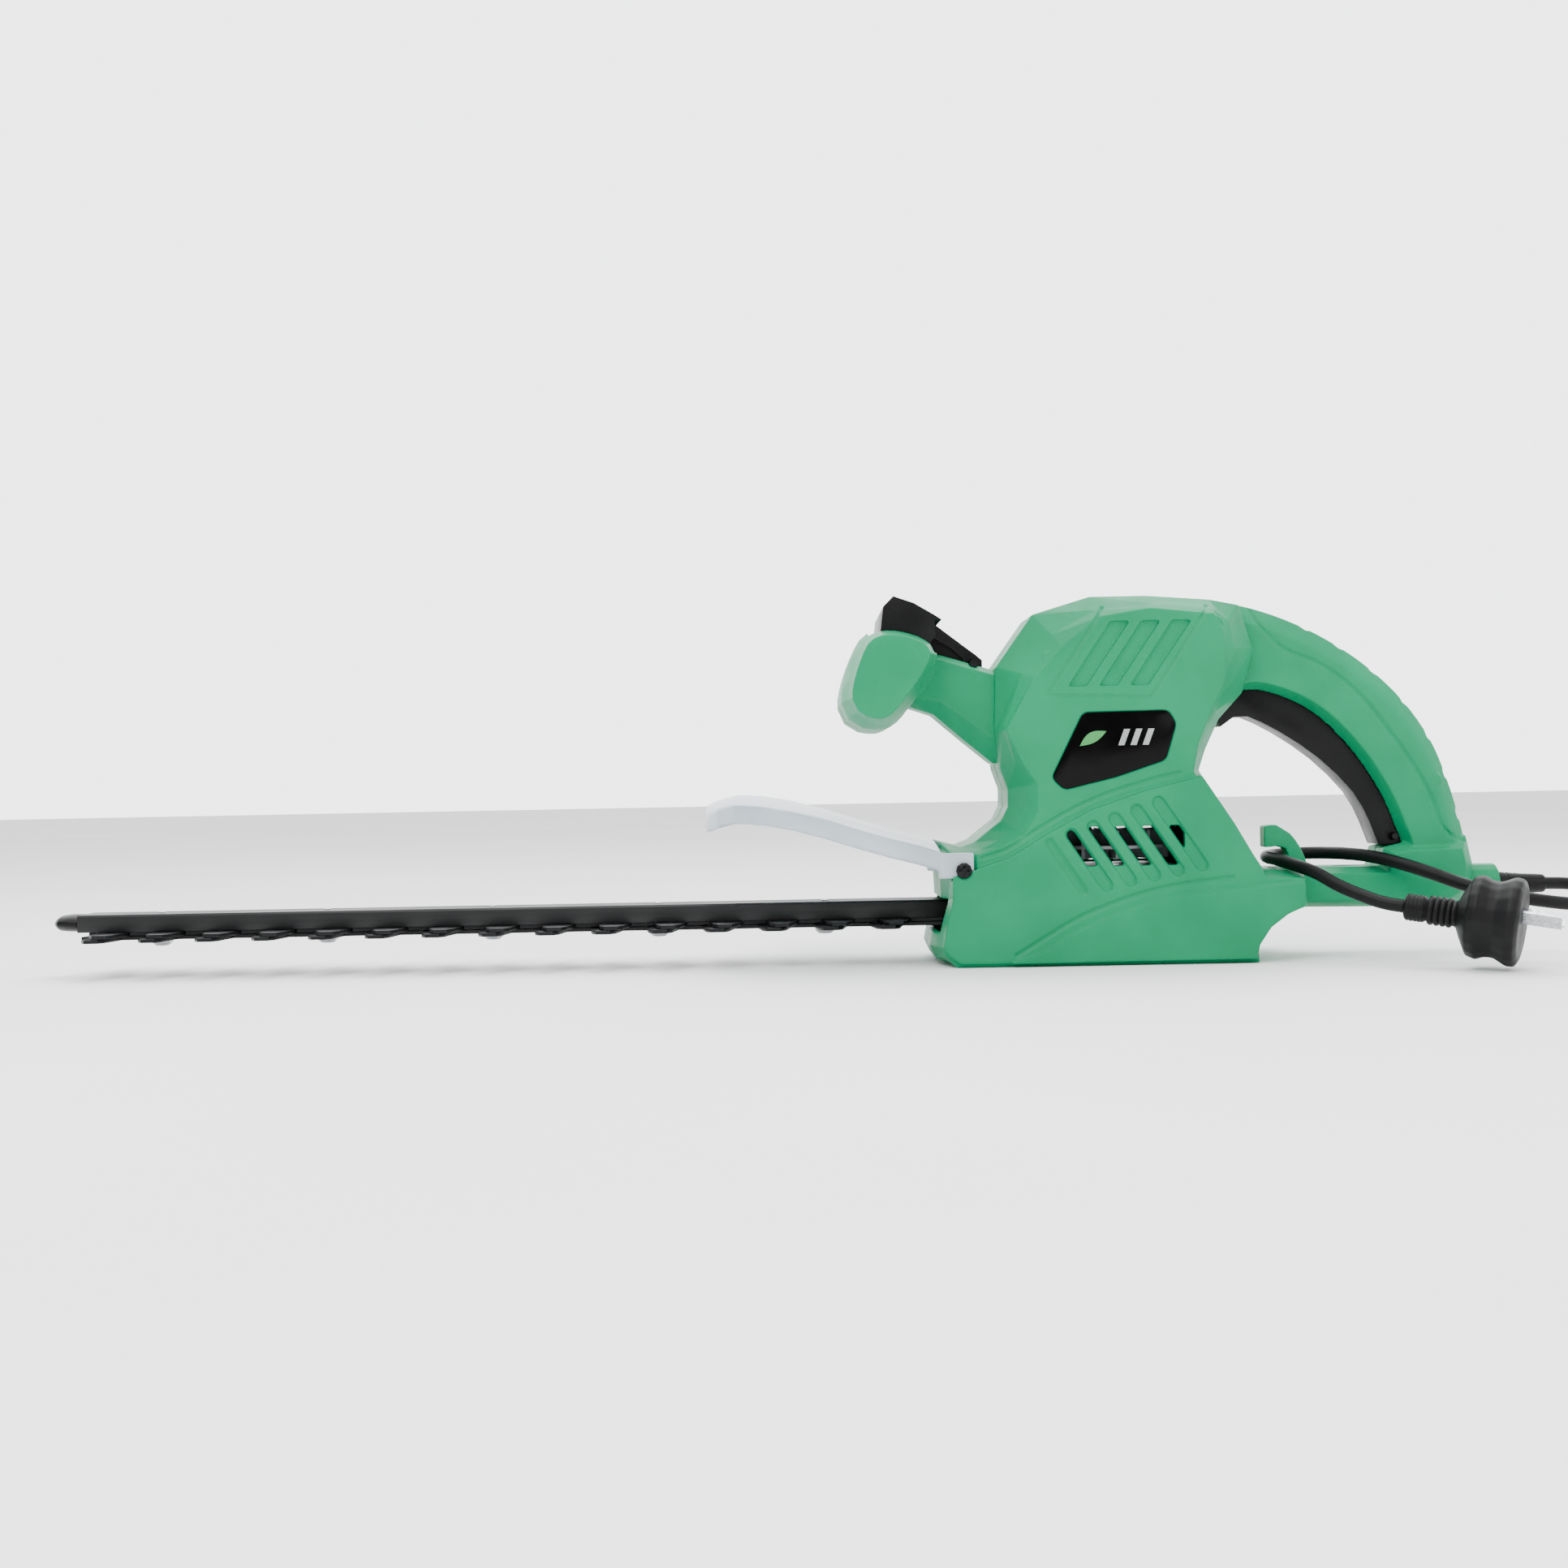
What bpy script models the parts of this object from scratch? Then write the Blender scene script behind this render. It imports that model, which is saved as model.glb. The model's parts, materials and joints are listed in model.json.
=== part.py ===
"""Electric hedge trimmer with a front T handle, a rear D handle and a short mains tail.

X runs from the blade tip to the rear end, Y across the tool, Z up from the flat base.
Every number is in millimetres; MM turns it to metres where a shape is made.
"""

import math

import bmesh
import bpy
from mathutils import Vector

MM = 0.001
GAP = 0.3  # left between pieces that touch

# ---- overall
FRONT_END = -371.0
REAR_END = 371.0
WALL = 3.0  # moulded housing wall
BORE_PLAY = 0.3  # a shaft hole's radius beyond its shaft's
SMOOTH_ANGLE = math.radians(35)
CORNER = math.radians(33)  # an outline that turns further than this at a point has a corner there

# ---- housing half widths
BODY_HALF = 40.0
LOWER_HALF = 42.5
SKIRT_HALF = 44.0
HANDLE_HALF = 16.5
BRIDGE_HALF = 20.0
ARM_HALF = 19.0
GRIP_HALF = 62.0

# ---- drive
MOTOR_X = 172.0
PINION_TEETH = 8
GEAR_TEETH = 40
MODULE = 1.25
GEAR_X = MOTOR_X - MODULE * (PINION_TEETH + GEAR_TEETH) / 2
GEAR_Z = (34.0, 42.0)
THROW = 5.0  # each eccentric's offset, and so half a blade's stroke
LOBE_RADIUS = 8.0
SHAFT_RADIUS = 3.0
TOOTH_HEIGHT = 2.4
STATOR_RADIUS = 28.0
FAN_Z = (52.0, 66.0)
FAN_BLADES = 12
LOWER_BEARING = (8.0, 43.2, 47.8)  # outer radius, low and high
UPPER_BEARING = (9.5, 151.5, 157.5)
BRUSH_Y = (10.4, 36.7)

# ---- shelves across the body, (low, high, bore radius)
MOTOR_SHELVES = [(84, 87, STATOR_RADIUS + GAP), (110, 113, STATOR_RADIUS + GAP)]
BEARING_SHELF = (151, 158, 9.8)

# ---- blades
PITCH = 28.6
TEETH = 15
FIRST_TOOTH = -341.0
BLADE_SHIFT = 2.0  # each blade's offset from the middle of its stroke at rest
LOWER_BLADE_Z = (18.8, 20.7)
UPPER_BLADE_Z = (21.0, 22.9)
BAR_Z = (23.2, 32.0)
BAR_WALL = 1.8
BAR_HALF = 12.0
BAR_LENGTH = 464.0
BAR_MIDDLE = -124.5
BLADE_HALF = 29.5  # to the tips of the teeth
SPINE_HALF = 9.0  # to the roots of the teeth
TANG_HALF = 19.0  # the wide plate that the eccentrics drive
DRIVE_WINDOW = (20.5, 13.5)  # half length and half width
SLOT_RADIUS = 3.2
SLOT_REACH = 5.4
BLADE_SCREWS = [-317.0 + 3 * PITCH * i for i in range(5)]

# ---- moving controls
LEVER_PIVOT = (104.0, 152.0)
TRIGGER_PIVOT = (317.0, 60.0)
LEVER_HALF = 44.0
TRIGGER_HALF = 9.0

# ---- housing screws, (x, z, how far the wall is from the split line)
HOUSING_SCREWS = [
    (92, 140, 17), (140, 152, 37.8), (222, 168, 37.8), (134, 101, 37.8), (227, 58, 37.8),
    (297, 138, 14.5), (337, 88, 14.5),
]
SCREW_SEAT = 8.0  # depth of the counterbores' floor from the split line
SCREW_HEAD = 3.6
SCREW_SHANK = 1.8

GUARD_SCREW = (94.5, 48.0)  # x and z
BASE_OPENING = ((92.0, -34.0), (232.0, 34.0))
BASE_LEDGE = 4.4
BASE_SCREWS = [(98, -28.5), (98, 28.5), (226, -28.5), (226, 28.5)]

# ---- mains tail
CORD_RADIUS = 3.2
CORD_Z = 34.0
CORD_ROUTE = [
    (397.3, 0, 34), (409, -1, 33.6), (421, -6, 32), (430, -15, 30), (433, -27, 28),
    (430, -39, 26.5), (420, -49, 26), (406, -55, 26), (390, -57.5, 27), (373, -57, 29),
    (356, -54, 32), (340, -47.5, 36.5), (326, -38.5, 42.3), (314, -28, 47), (304, -16.5, 50),
    (294.5, -4.5, 51.3), (285.3, 5.6, 51.5), (276, 11.3, 51.3), (265, 11, 50.9), (256.6, 4.2, 50.4),
    (253.6, -6, 50.2), (255.2, -17, 49.6), (260, -29, 47.5), (267.4, -42, 44), (275.5, -53.5, 38),
    (284.6, -62.2, 33.3), (292.7, -68.4, 30.2), (300.4, -72.8, 28.8),
]
PLUG_BACK = (300.8, -73.0, 28.7)
PLUG_FACE = (346.5, -98.5, 21.6)
PIN_SIZE = (6.4, 1.6, 16.7)

COLOURS = {
    "green_plastic": ("2fb67c", 0.42, 0.0),
    "black_plastic": ("1a1b1d", 0.45, 0.0),
    "gloss_black": ("0c0d0f", 0.12, 0.0),
    "clear_plastic": ("dfe9f2", 0.25, 0.0),
    "black_steel": ("1d1e20", 0.38, 0.7),
    "black_alloy": ("1b1c1e", 0.42, 0.8),
    "bright_steel": ("b9bcc0", 0.3, 1.0),
    "cast_alloy": ("a4a7ab", 0.5, 1.0),
    "copper": ("b5683c", 0.35, 1.0),
    "laminations": ("6b6f74", 0.45, 0.9),
    "grey_plastic": ("8f9498", 0.5, 0.0),
    "rubber": ("161718", 0.7, 0.0),
}

# ---- outlines as (x, z, how far the side face is set in there)
BODY = [
    (90, 0, 0), (240, 0, 0), (242, 8, 3), (247.5, 15.5, 3), (255, 21.5, 3), (264, 25, 3),
    (267, 25, 3), (267, 44, 4), (247, 45, 4), (232, 69, 5), (215.5, 95.5, 6), (219, 106, 8),
    (226, 121, 9), (238, 134, 14), (244, 156, 18), (237, 178.5, 16), (222, 181.5, 9),
    (190, 184, 8), (162, 184, 12), (133, 175.5, 20), (114, 149, 18), (113, 117, 4),
    (115.5, 98, 10), (119, 88, 13), (119, 79, 13), (115.5, 72, 12), (109, 67, 9),
    (102, 61.5, 6), (95, 59, 4), (84, 62, 4), (84, 45, 5), (84.5, 34, 5), (81, 22, 5),
    (78.5, 9.5, 5), (81.5, 3, 4),
]
LOWER = [
    (92, 0.8, 1), (239, 0.8, 1), (241.5, 8, 2), (247, 16, 2), (255, 22, 2), (263, 25.5, 2),
    (265, 26, 2), (265, 43, 2), (245, 44, 2), (230, 70, 2), (214, 94.5, 2), (203, 93, 3),
    (184, 88.5, 3), (157, 79.5, 3), (133.5, 67, 3), (116, 56.5, 3), (102, 52, 3),
    (86, 47, 3), (86, 34, 3), (83, 22, 3), (81, 10, 3), (84, 4, 3),
]
SKIRT = [
    (116, 1.2, 1), (238, 1.2, 1), (240.5, 8, 1.5), (246, 16.5, 1.5), (254, 22.5, 1.5),
    (262, 26, 1.5), (264, 26.5, 1.5), (264, 41, 1.5), (228.5, 40.5, 4), (204.5, 38, 4),
    (184, 34, 4), (166, 28, 4), (150, 21.5, 4), (133, 11.5, 4),
]
HANDLE = [
    (354, 44, 5), (353, 58, 8), (350, 72, 9), (345, 89, 9), (337, 109, 9), (323.5, 129, 9),
    (307, 145.5, 9), (290, 158, 9), (270, 169, 9), (246, 178, 9), (222, 182, 9), (196, 182, 0),
    (196, 140, 0), (224, 121, 3), (229, 128, 4), (236, 133, 4), (246.5, 136, 4), (264, 131, 4),
    (281, 120.5, 4), (298, 102, 4), (311, 81, 4), (317.5, 65, 4), (321, 55, 4), (322, 44, 3),
]
BRIDGE = [
    (256, 25, 3), (343, 24, 5), (351, 27, 6), (355, 34, 6), (356, 46, 6), (353, 60, 6),
    (322, 57, 4), (311, 54.5, 4), (309, 45, 3), (256, 45, 3),
]
ARM = [
    (56, 132, 2), (68, 131.5, 4), (83, 126.5, 7), (98, 113.5, 9), (113, 101, 10), (132, 101, 0),
    (132, 142, 0), (116, 148, 3), (83, 158, 3), (58, 164, 3),
]
GRIP = [
    (39, 124, 5), (46, 119.5, 5), (56, 118.5, 5), (63, 122, 5), (69, 129, 5), (76, 138, 5),
    (82, 148, 5), (84, 155, 5), (81, 161, 5), (74, 165.5, 5), (63, 168.5, 5), (53, 168, 5),
    (45, 163, 5), (40, 153, 5), (36.5, 142, 5), (35.5, 132, 5),
]
HOOK = [
    (261, 42), (273, 42), (272.5, 47), (269, 55.5), (264, 62.5), (257, 67), (251, 66.5),
    (251, 55.5), (257.5, 56), (261.5, 55), (263, 51.5), (261, 47.5),
]
HOOK_Y = (-11.0, -1.0)
BADGE = [(155, 125), (197, 125.5), (201, 119), (195.5, 101), (171, 93), (145, 87), (139, 93)]
BADGE_ROUND = 2.6  # how far its corners are cut back
LEVER = [
    (55, 163), (79, 159.5), (84, 166), (93, 160.5), (99, 155), (99, 149), (104, 147.5),
    (109, 149.5), (109, 154), (105.5, 157), (97, 163.5), (88, 170.5), (82, 174.5), (72, 180.5),
    (62, 184), (57, 179),
]
TRIGGER = [
    (230, 117.5), (237, 122.5), (244, 122.5), (260, 114.5), (280, 100.5), (297, 83), (305, 68),
    (309.5, 56), (320, 55.5), (322.5, 62), (313, 87), (299, 108.5), (282, 127), (262, 139),
    (246, 143), (233, 139.5), (227, 129),
]

# ---- height of the guard's crown above the base, from its rear to its tip
GUARD_CROWN = [
    (84, 61.5), (72, 65.5), (50, 71.5), (28, 79), (2, 86), (-17, 87.5), (-29, 84.5), (-34, 82),
]
GUARD_SAG = 4.5
GUARD_FLANGE = 9.5
GUARD_WALL = 2.2
GUARD_NARROW = 41.0
GUARD_WIDE = 63.0


# ---------------------------------------------------------------- shapes


def clear_scene():
    for item in list(bpy.data.objects):
        bpy.data.objects.remove(item)


def new_collection(name):
    made = bpy.data.collections.new(name)
    bpy.context.scene.collection.children.link(made)
    return made


def linear(value):
    return value / 12.92 if value <= 0.04045 else ((value + 0.055) / 1.055) ** 2.4


def finish(name):
    """The Principled material of that name."""
    made = bpy.data.materials.get(name)
    if made is None:
        shade, roughness, metallic = COLOURS[name]
        rgb = [linear(int(shade[i : i + 2], 16) / 255) for i in (0, 2, 4)]
        made = bpy.data.materials.new(name)
        made.use_nodes = True
        shader = made.node_tree.nodes["Principled BSDF"]
        shader.inputs["Base Color"].default_value = (*rgb, 1)
        shader.inputs["Roughness"].default_value = roughness
        shader.inputs["Metallic"].default_value = metallic
    return made


def put(name, mesh, location=(0, 0, 0), rotation=(0, 0, 0)):
    """An object for a mesh that is already in metres, placed in millimetres and degrees."""
    thing = bpy.data.objects.new(name, mesh)
    thing.location = Vector(location) * MM
    thing.rotation_euler = [math.radians(angle) for angle in rotation]
    CUTTERS.objects.link(thing)
    return thing


def baked(thing):
    """Turns a curve, or a mesh with modifiers, into a plain welded mesh."""
    bpy.context.view_layer.update()
    graph = bpy.context.evaluated_depsgraph_get()
    mesh = bpy.data.meshes.new_from_object(thing.evaluated_get(graph))
    shape = bmesh.new()
    shape.from_mesh(mesh)
    bmesh.ops.remove_doubles(shape, verts=shape.verts, dist=1e-6)
    shape.to_mesh(mesh)
    shape.free()
    if thing.type == "MESH":
        thing.modifiers.clear()
        thing.data = mesh
        return thing
    name, place = thing.name, thing.matrix_world.copy()
    bpy.data.objects.remove(thing)
    made = put(name, mesh)
    made.matrix_world = place
    return made


def flat(name, outline, low, high, origin=(0, 0), side=True, holes=()):
    """An outline with thickness: in the XZ plane from Y low to high, or in XY from Z low to high."""
    curve = bpy.data.curves.new(name, "CURVE")
    curve.dimensions = "2D"
    curve.fill_mode = "BOTH"
    curve.extrude = (high - low) / 2 * MM
    for loop in (outline, *holes):
        line = curve.splines.new("POLY")
        line.points.add(len(loop) - 1)
        for point, place in zip(line.points, loop):
            point.co = ((place[0] - origin[0]) * MM, (place[1] - origin[1]) * MM, 0, 1)
        line.use_cyclic_u = True
    thing = bpy.data.objects.new(name, curve)
    CUTTERS.objects.link(thing)
    middle = (low + high) / 2
    if side:
        thing.location = Vector((origin[0], middle, origin[1])) * MM
        thing.rotation_euler = (math.pi / 2, 0, 0)
    else:
        thing.location = Vector((origin[0], origin[1], middle)) * MM
    return baked(thing)


def turned(name, profile, location=(0, 0, 0), rotation=(0, 0, 0), sides=16):
    """A profile of (radius, height), from the top down its outer side, turned about Z."""
    mesh = bpy.data.meshes.new(name)
    ring = profile[0][0] > 0
    edges = [(i, i + 1) for i in range(len(profile) - 1)]
    if ring:
        edges.append((len(profile) - 1, 0))
    mesh.from_pydata([(r * MM, 0, z * MM) for r, z in profile], edges, [])
    thing = put(name, mesh, location, rotation)
    screw = thing.modifiers.new("turn", "SCREW")
    screw.steps = screw.render_steps = sides
    screw.use_merge_vertices = True
    screw.merge_threshold = 1e-6
    return baked(thing)


def rod(name, radius, low, high, location=(0, 0, 0), rotation=(0, 0, 0), sides=16):
    return turned(name, [(0, high), (radius, high), (radius, low), (0, low)], location, rotation, sides)


def box(name, low, high):
    mesh = bpy.data.meshes.new(name)
    shape = bmesh.new()
    bmesh.ops.create_cube(shape, size=1)
    size = Vector(high) - Vector(low)
    bmesh.ops.scale(shape, vec=size * MM, verts=shape.verts)
    shape.to_mesh(mesh)
    shape.free()
    return put(name, mesh, (Vector(low) + Vector(high)) / 2)


def tube(name, points, radius, origin=(0, 0, 0), detail=2):
    curve = bpy.data.curves.new(name, "CURVE")
    curve.dimensions = "3D"
    curve.bevel_depth = radius * MM
    curve.bevel_resolution = detail
    curve.use_fill_caps = True
    line = curve.splines.new("POLY")
    line.points.add(len(points) - 1)
    for point, place in zip(line.points, points):
        point.co = (*((Vector(place) - Vector(origin)) * MM), 1)
    thing = bpy.data.objects.new(name, curve)
    thing.location = Vector(origin) * MM
    CUTTERS.objects.link(thing)
    return baked(thing)


def turn_at(outline, i):
    """How far a closed outline turns at one of its points."""
    here = Vector(outline[i][:2])
    before = here - Vector(outline[i - 1][:2])
    after = Vector(outline[(i + 1) % len(outline)][:2]) - here
    return abs(before.angle_signed(after))


def eased(outline, rounds=1, corner=CORNER):
    """An outline whose gentle bends become smooth curves, while its corners stay sharp."""
    for _ in range(rounds):
        count = len(outline)
        finer = []
        for i in range(count):
            around = [outline[(i + step) % count] for step in (-1, 0, 1, 2)]
            finer.append(outline[i])
            if max(turn_at(outline, i), turn_at(outline, (i + 1) % count)) < corner:
                finer.append(tuple((9 * (b + c) - a - d) / 16 for a, b, c, d in zip(*around)))
        outline = finer
    return outline


def round_cornered(outline, radius, steps=4):
    """An outline with every corner cut back by that length and rounded."""
    points = []
    for i, place in enumerate(outline):
        here = Vector(place[:2])
        ends = (Vector(outline[i - 1][:2]), Vector(outline[(i + 1) % len(outline)][:2]))
        start, end = (here + (other - here).normalized() * radius for other in ends)
        for step in range(steps + 1):
            t = step / steps
            points.append(start * (1 - t) ** 2 + here * 2 * t * (1 - t) + end * t * t)
    return points


def inset(outline, distances):
    """Each point of a closed outline moved to its left, square to the two edges it joins."""
    moved = []
    for i, distance in enumerate(distances):
        here = Vector(outline[i][:2])
        before = (here - Vector(outline[i - 1][:2])).normalized()
        after = (Vector(outline[(i + 1) % len(outline)][:2]) - here).normalized()
        across = Vector((-before.y - after.y, before.x + after.x)).normalized()
        square = max(0.55, across.dot(Vector((-before.y, before.x))))
        moved.append(here + across * distance / square)
    return moved


def lofted(name, outline, half, shrink=0.0, rounded=False):
    """A body through outlines side by side, whose side faces are set in by the third numbers."""
    layers = [(0.0, 1.0), (0.35, 0.86), (1.0, 0.56)] if rounded else [(0.0, 1.0), (1.0, 0.6)]
    rings = []
    for sign in (-1, 1):
        for bevel, share in layers[::-sign]:
            places = inset(outline, [shrink + (1 - bevel) * point[2] for point in outline])
            across = share * half - (shrink if share == 1.0 else shrink * 0.6)
            rings.append([(p.x * MM, sign * across * MM, p.y * MM) for p in places])
    shape = bmesh.new()
    loops = [[shape.verts.new(place) for place in ring] for ring in rings]
    count = len(outline)
    for near, far in zip(loops, loops[1:]):
        for i in range(count):
            j = (i + 1) % count
            shape.faces.new((near[i], near[j], far[j], far[i]))
    shape.faces.new(loops[0][::-1])
    shape.faces.new(loops[-1])
    bmesh.ops.recalc_face_normals(shape, faces=shape.faces)
    bmesh.ops.triangulate(shape, faces=shape.faces, quad_method="FIXED")
    mesh = bpy.data.meshes.new(name)
    shape.to_mesh(mesh)
    shape.free()
    return put(name, mesh)


def combine(thing, other, how="DIFFERENCE"):
    """Cuts, joins or trims one solid with another, which is used up."""
    step = thing.modifiers.new(how.lower(), "BOOLEAN")
    step.operation = how
    step.object = other
    baked(thing)
    bpy.data.objects.remove(other)
    return thing


def joined(thing, *others):
    for other in others:
        combine(thing, other, "UNION")
    return thing


def part(thing, material):
    """Makes a finished solid one of the model's pieces."""
    CUTTERS.objects.unlink(thing)
    MODEL.objects.link(thing)
    thing.data.materials.clear()
    thing.data.materials.append(finish(material))
    thing.data.shade_smooth()
    thing.data.set_sharp_from_angle(angle=SMOOTH_ANGLE)
    return thing


def capsule(start, end, radius, steps=4):
    """The outline of a slot with round ends."""
    along = (Vector(end) - Vector(start)).normalized()
    turn = math.atan2(along.y, along.x)
    points = []
    for centre, base in ((end, turn - math.pi / 2), (start, turn + math.pi / 2)):
        for i in range(steps + 1):
            angle = base + math.pi * i / steps
            points.append((centre[0] + radius * math.cos(angle), centre[1] + radius * math.sin(angle)))
    return points


def toothed(teeth, root, tip, phase):
    """A spur gear's outline, with narrow teeth so that two gears run with some play."""
    points = []
    step = 2 * math.pi / teeth
    for i in range(teeth):
        for share, radius in ((-0.29, root), (-0.11, tip), (0.11, tip), (0.29, root)):
            angle = phase + (i + share) * step
            points.append((radius * math.cos(angle), radius * math.sin(angle)))
    return points


# ---------------------------------------------------------------- housing


def housing():
    shell = lofted("housing", BODY, BODY_HALF, rounded=True)
    joined(
        shell,
        lofted("lower", LOWER, LOWER_HALF),
        lofted("skirt", SKIRT, SKIRT_HALF),
        lofted("handle", eased(HANDLE, 2), HANDLE_HALF, rounded=True),
        lofted("bridge", BRIDGE, BRIDGE_HALF),
        lofted("arm", ARM, ARM_HALF),
        lofted("grip", eased(GRIP), GRIP_HALF),
        rod("cord_boss", 11, 345, REAR_END, (0, 0, CORD_Z), (0, 90, 0)),
        flat("hook", eased(HOOK), *HOOK_Y),
    )
    for name, outline, half, rounded in (
        ("body_hollow", BODY, BODY_HALF, True),
        ("handle_hollow", HANDLE, HANDLE_HALF, True),
        ("bridge_hollow", BRIDGE, BRIDGE_HALF, False),
        ("arm_hollow", ARM, ARM_HALF, False),
        ("grip_hollow", GRIP, GRIP_HALF, False),
    ):
        combine(shell, lofted(name, outline, half, WALL, rounded))
    add_ribs(shell)
    cut_openings(shell)
    halves = []
    for name, low, high in (("housing_left", -90, -GAP / 2), ("housing_right", GAP / 2, 90)):
        half = put(name, shell.data.copy())
        combine(half, box("side", (0, low, -10), (400, high, 200)), "INTERSECT")
        halves.append(half)
    bpy.data.objects.remove(shell)
    add_screw_posts(*halves)


def add_ribs(shell):
    """Shelves across the body that hold the motor and its upper bearing."""
    for shelf in (*MOTOR_SHELVES, BEARING_SHELF):
        low, high, radius = shelf
        rib = box("rib", (100, -50, low), (212, 50, high))
        combine(rib, lofted("rib_edge", BODY, BODY_HALF, WALL / 2), "INTERSECT")
        combine(rib, rod("rib_bore", radius, low - 1, high + 1, (MOTOR_X, 0, 0), sides=24))
        if shelf == BEARING_SHELF:
            combine(rib, box("lever_room", (100, -50, low - 1), (140, 50, high + 1)))
        combine(shell, rib, "UNION")


def cut_openings(shell):
    """The holes that pass through the split line, and then those of each side."""
    low, high = BASE_OPENING
    combine(shell, box("base_opening", (*low, -5), (*high, BASE_LEDGE)))
    for x, y in BASE_SCREWS:
        low, high = sorted((y - math.copysign(4.5, y), math.copysign(38, y)))
        block = box("base_block", (x - 4.5, low, BASE_LEDGE), (x + 4.5, high, 13))
        combine(shell, block, "UNION")
        combine(shell, rod("pilot", 2.1, 0, 12, (x, y, 0), sides=8))
    combine(shell, box("blade_mouth", (70, -33, 17), (95, 33, 33.5)))
    combine(shell, box("lever_slot", (49.5, -LEVER_HALF - 1, 156), (86, LEVER_HALF + 1, 190)))
    combine(shell, box("stem_slot", (80, -8.5, 150), (112.5, 8.5, 190)))
    combine(shell, box("stem_room", (97, -8.5, 144.5), (111.5, 8.5, 160)))
    shape = eased(TRIGGER)
    slot = inset(shape, [-1.5] * len(shape))
    combine(shell, flat("trigger_slot", slot, -TRIGGER_HALF - 0.6, TRIGGER_HALF + 0.6))
    combine(shell, rod("cord_bore", CORD_RADIUS + 0.8, 330, 380, (0, 0, CORD_Z), (0, 90, 0), 12))
    combine(shell, flat("cord_slot", capsule((291, 0), (305, 0), 3), 38, 60, side=False))
    x, z = LEVER_PIVOT
    combine(shell, rod("lever_pin_hole", 2.3, -15.5, 15.5, (x, 0, z), (90, 0, 0), 12))
    for side in (-1, 1):
        cut_side(shell, side)


def outward(side, low, high):
    """The Y range of a cutter that works on one side of the tool."""
    return sorted((side * low, side * high))


def cut_side(shell, side):
    for i in range(1, 6):
        ends = ((137 + 10.8 * i, 61 + 3.8 * i), (153 + 11.8 * i, 37 + 2.3 * i))
        slit = flat("slit", capsule(*ends, 2.3, 3), *outward(side, 20, 60))
        combine(slit, box("window", (145, -70, 49), (204, 70, 68.5)), "INTERSECT")
        combine(shell, slit)
    for i in range(3):
        x = 15.3 * i
        louvre = [(148 + x, 138), (157 + x, 138), (179 + x, 170), (169.5 + x, 170)]
        combine(shell, flat("louvre", louvre, *outward(side, BODY_HALF - 2, 60)))
    badge = round_cornered(BADGE, BADGE_ROUND)
    seat = inset(badge, [GAP] * len(badge))
    combine(shell, flat("badge_seat", seat, *outward(side, BODY_HALF - 1, 60)))
    low, high = outward(side, 38.6, 41.4)
    combine(shell, box("guard_slot", (70, low, 43), (101, high, 58)))
    x, z = GUARD_SCREW
    combine(shell, rod("guard_hole", 2.2, -60, -30, (x, 0, z), (-90 * side, 0, 0), 10))
    combine(shell, rod("guard_seat", 4.4, -60, -41.8, (x, 0, z), (-90 * side, 0, 0), 12))


def add_screw_posts(left, right):
    """Posts that meet at the split line: bored through on the right, blind on the left."""
    for x, z, reach in HOUSING_SCREWS:
        joined(left, rod("post", 4, GAP / 2, reach, (x, 0, z), (90, 0, 0), 10))
        joined(right, rod("post", 5, GAP / 2, reach, (x, 0, z), (-90, 0, 0), 10))
        combine(left, rod("pilot", 2.2, -1, 9, (x, 0, z), (90, 0, 0), 8))
        combine(right, rod("hole", 2.3, -1, 60, (x, 0, z), (-90, 0, 0), 8))
        combine(right, rod("counterbore", SCREW_HEAD + 0.5, SCREW_SEAT, 70, (x, 0, z), (-90, 0, 0), 10))
    for half in (left, right):
        part(half, "green_plastic")


def screw(name, head, reach, location, rotation, shank=SCREW_SHANK, material="black_steel"):
    """A pan-head screw whose head stands above its location and whose shank goes below it."""
    dome = [(0, 2.2), (head * 0.7, 1.9), (head, 0.9), (head, 0)]
    thread = [(shank, 0), (shank, -reach), (0, -reach)]
    return part(turned(name, dome + thread, location, rotation, 10), material)


def add_housing_screws():
    for i, (x, z, _) in enumerate(HOUSING_SCREWS):
        screw(f"housing_screw_{i + 1}", SCREW_HEAD, 15.5, (x, SCREW_SEAT + GAP, z), (-90, 0, 0))
    x, z = GUARD_SCREW
    for name, side in (("left", -1), ("right", 1)):
        screw(f"guard_screw_{name}", 4.0, 11, (x, side * 42.1, z), (-90 * side, 0, 0))


def add_badges():
    for name, side in (("left", -1), ("right", 1)):
        low, high = outward(side, BODY_HALF - 0.7, BODY_HALF + 0.3)
        part(flat(f"badge_{name}", round_cornered(BADGE, BADGE_ROUND), low, high), "gloss_black")


def add_base():
    """The steel cover under the gears, held by four screws."""
    (x0, y0), (x1, y1) = BASE_OPENING
    cover = box("base_plate", (x0 + GAP, y0 + GAP, 1.0), (x1 - GAP, y1 - GAP, BASE_LEDGE - GAP))
    for i, (x, y) in enumerate(BASE_SCREWS):
        combine(cover, rod("hole", 2.1, -5, 10, (x, y, 0), sides=8))
        combine(cover, rod("head_seat", 4.0, -5, 3.0, (x, y, 0), sides=10))
        screw(f"base_screw_{i + 1}", SCREW_HEAD, 9, (x, y, 2.7), (180, 0, 0))
    part(cover, "black_steel")


# ---------------------------------------------------------------- guard


def crown_at(x):
    for (x0, z0), (x1, z1) in zip(GUARD_CROWN, GUARD_CROWN[1:]):
        if x >= x1:
            return z0 + (z1 - z0) * (x0 - x) / (x0 - x1)
    return GUARD_CROWN[-1][1]


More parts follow.
